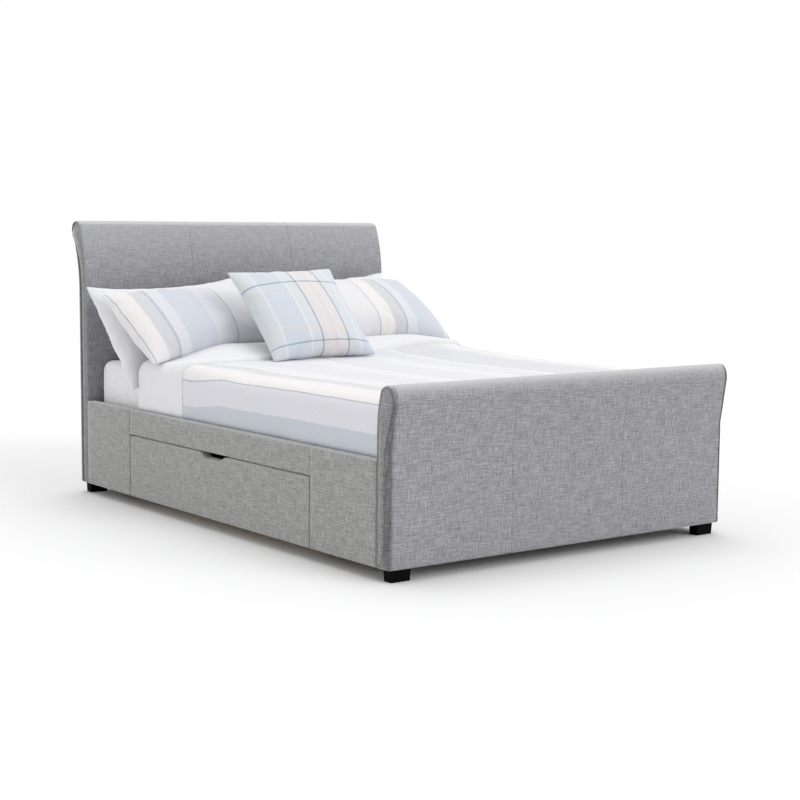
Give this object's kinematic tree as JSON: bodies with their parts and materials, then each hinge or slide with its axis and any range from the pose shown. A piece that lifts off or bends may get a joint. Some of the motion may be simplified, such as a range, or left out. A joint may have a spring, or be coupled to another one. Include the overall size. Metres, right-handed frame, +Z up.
{
  "type": "sleigh bed",
  "caption": "Upholstered sleigh bed with outward-rolled headboard and footboard, wheeled side drawers, slatted base, and a mattress dressed with duvet, pillows and a square cushion.",
  "frame": {"origin": "on the floor, in the middle of the bed's outline", "axes": "+X across the bed, +Y from the foot to the head, +Z up"},
  "size_m": [1.45, 2.173, 1.085],
  "materials": {
    "grey_linen": "light grey linen-look weave with slubs",
    "timber": "plain softwood and plywood",
    "slat_wood": "pale laminated beech",
    "black_feet": "black satin lacquer",
    "zinc_steel": "zinc plated",
    "black_plastic": "moulded, matt",
    "white_cotton": "plain white percale",
    "striped_duvet": "white cotton with blue-grey and cream stripes",
    "striped_pillow": "white cotton with blue, grey and cream stripes",
    "plaid_cushion": "pale blue checked cotton"
  },
  "bodies": {
    "bed_frame": {"headboard_cover": "grey_linen", "footboard_cover": "grey_linen", "left_rail_cover": "grey_linen", "right_rail_cover": "grey_linen", "headboard_frame": "timber", "footboard_frame": "timber", "left_rail_board": "timber", "right_rail_board": "timber", "left_slat_ledger": "timber", "right_slat_ledger": "timber", "centre_beam": "timber", "centre_leg_foot": "timber", "centre_leg_head": "timber", "slat_01": "slat_wood", "slat_02": "slat_wood", "slat_03": "slat_wood", "slat_04": "slat_wood", "slat_05": "slat_wood", "slat_06": "slat_wood", "slat_07": "slat_wood", "slat_08": "slat_wood", "slat_09": "slat_wood", "slat_10": "slat_wood", "foot_foot_left": "black_feet", "foot_foot_right": "black_feet", "foot_head_left": "black_feet", "foot_head_right": "black_feet", "left_bracket_foot": "zinc_steel", "left_bracket_head": "zinc_steel", "right_bracket_foot": "zinc_steel", "right_bracket_head": "zinc_steel", "beam_hanger_foot": "zinc_steel", "beam_hanger_head": "zinc_steel"},
    "left_drawer": {"left_drawer_front_cover": "grey_linen", "left_drawer_front_board": "timber", "left_drawer_box": "timber", "left_drawer_base": "timber", "left_bearer_foot": "timber", "left_bearer_head": "timber"},
    "left_wheel_outer_foot_body": {"left_wheel_outer_foot": "black_plastic"},
    "left_wheel_outer_head_body": {"left_wheel_outer_head": "black_plastic"},
    "left_wheel_inner_foot_body": {"left_wheel_inner_foot": "black_plastic"},
    "left_wheel_inner_head_body": {"left_wheel_inner_head": "black_plastic"},
    "right_drawer": {"right_drawer_front_cover": "grey_linen", "right_drawer_front_board": "timber", "right_drawer_box": "timber", "right_drawer_base": "timber", "right_bearer_foot": "timber", "right_bearer_head": "timber"},
    "right_wheel_outer_foot_body": {"right_wheel_outer_foot": "black_plastic"},
    "right_wheel_outer_head_body": {"right_wheel_outer_head": "black_plastic"},
    "right_wheel_inner_foot_body": {"right_wheel_inner_foot": "black_plastic"},
    "right_wheel_inner_head_body": {"right_wheel_inner_head": "black_plastic"},
    "bedding": {"mattress": "white_cotton", "duvet": "striped_duvet", "pillow_back_left": "white_cotton", "pillow_back_right": "white_cotton", "pillow_front_left": "striped_pillow", "pillow_front_right": "striped_pillow"},
    "cushion_body": {"cushion": "plaid_cushion"}
  },
  "joints": [
    {"name": "left_drawer_slide", "type": "slide", "parent": "bed_frame", "child": "left_drawer", "axis": [-1, 0, 0], "range_m": [0, 0.6]},
    {"name": "left_wheel_outer_foot_spin", "type": "hinge", "parent": "left_drawer", "child": "left_wheel_outer_foot_body", "pos_m": [-0.53, -0.4955, 0.0204], "axis": [0, 1, 0], "continuous": true},
    {"name": "left_wheel_outer_head_spin", "type": "hinge", "parent": "left_drawer", "child": "left_wheel_outer_head_body", "pos_m": [-0.53, 0.4645, 0.0204], "axis": [0, 1, 0], "continuous": true},
    {"name": "left_wheel_inner_foot_spin", "type": "hinge", "parent": "left_drawer", "child": "left_wheel_inner_foot_body", "pos_m": [-0.14, -0.4955, 0.0204], "axis": [0, 1, 0], "continuous": true},
    {"name": "left_wheel_inner_head_spin", "type": "hinge", "parent": "left_drawer", "child": "left_wheel_inner_head_body", "pos_m": [-0.14, 0.4645, 0.0204], "axis": [0, 1, 0], "continuous": true},
    {"name": "right_drawer_slide", "type": "slide", "parent": "bed_frame", "child": "right_drawer", "axis": [1, 0, 0], "range_m": [0, 0.6]},
    {"name": "right_wheel_outer_foot_spin", "type": "hinge", "parent": "right_drawer", "child": "right_wheel_outer_foot_body", "pos_m": [0.53, -0.4955, 0.0204], "axis": [0, 1, 0], "continuous": true},
    {"name": "right_wheel_outer_head_spin", "type": "hinge", "parent": "right_drawer", "child": "right_wheel_outer_head_body", "pos_m": [0.53, 0.4645, 0.0204], "axis": [0, 1, 0], "continuous": true},
    {"name": "right_wheel_inner_foot_spin", "type": "hinge", "parent": "right_drawer", "child": "right_wheel_inner_foot_body", "pos_m": [0.14, -0.4955, 0.0204], "axis": [0, 1, 0], "continuous": true},
    {"name": "right_wheel_inner_head_spin", "type": "hinge", "parent": "right_drawer", "child": "right_wheel_inner_head_body", "pos_m": [0.14, 0.4645, 0.0204], "axis": [0, 1, 0], "continuous": true},
    {"name": "bedding_lift", "type": "slide", "parent": "bed_frame", "child": "bedding", "axis": [0, 0, 1], "range_m": [0, 0.15]},
    {"name": "cushion_lift", "type": "slide", "parent": "bedding", "child": "cushion_body", "axis": [0, 0, 1], "range_m": [0, 0.3]}
  ],
  "couplings": [
    {"joint": "left_wheel_outer_foot_spin", "follows": "left_drawer_slide", "rad_per_m": -50},
    {"joint": "left_wheel_outer_head_spin", "follows": "left_drawer_slide", "rad_per_m": -50},
    {"joint": "left_wheel_inner_foot_spin", "follows": "left_drawer_slide", "rad_per_m": -50},
    {"joint": "left_wheel_inner_head_spin", "follows": "left_drawer_slide", "rad_per_m": -50},
    {"joint": "right_wheel_outer_foot_spin", "follows": "right_drawer_slide", "rad_per_m": 50},
    {"joint": "right_wheel_outer_head_spin", "follows": "right_drawer_slide", "rad_per_m": 50},
    {"joint": "right_wheel_inner_foot_spin", "follows": "right_drawer_slide", "rad_per_m": 50},
    {"joint": "right_wheel_inner_head_spin", "follows": "right_drawer_slide", "rad_per_m": 50}
  ]
}
